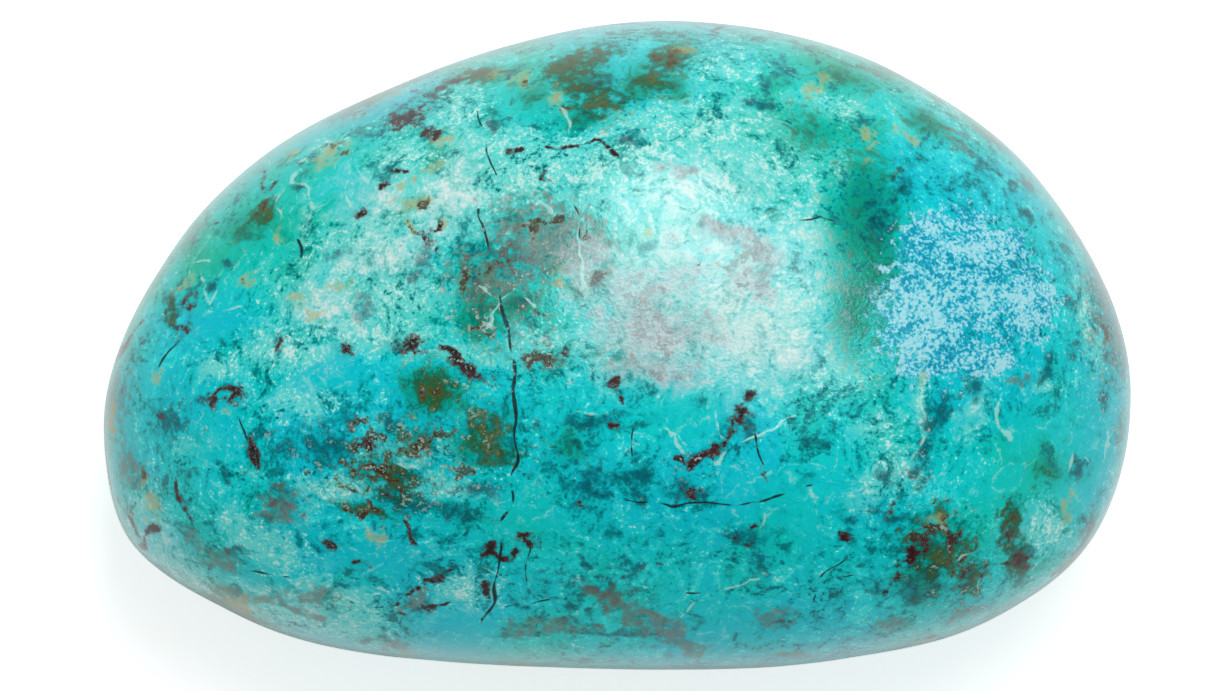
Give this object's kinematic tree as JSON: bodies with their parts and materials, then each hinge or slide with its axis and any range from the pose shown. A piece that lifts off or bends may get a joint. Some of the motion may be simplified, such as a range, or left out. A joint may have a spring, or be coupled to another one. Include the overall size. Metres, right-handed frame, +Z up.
{
  "type": "tumbled chrysocolla stone",
  "caption": "Tumbled and polished chrysocolla pebble, a rounded lopsided oval with a worn flat underside that it rests on.",
  "frame": {"origin": "on the resting plane, under the middle of the stone's bounding box", "axes": "+Z up, +X along the stone's length towards its blunter end, +Y towards its more arched long side"},
  "size_m": [0.045, 0.0284, 0.02],
  "materials": {
    "polished_chrysocolla": "tumble-polished, glossy"
  },
  "bodies": {
    "root": {"chrysocolla_pebble": "polished_chrysocolla"}
  },
  "joints": []
}
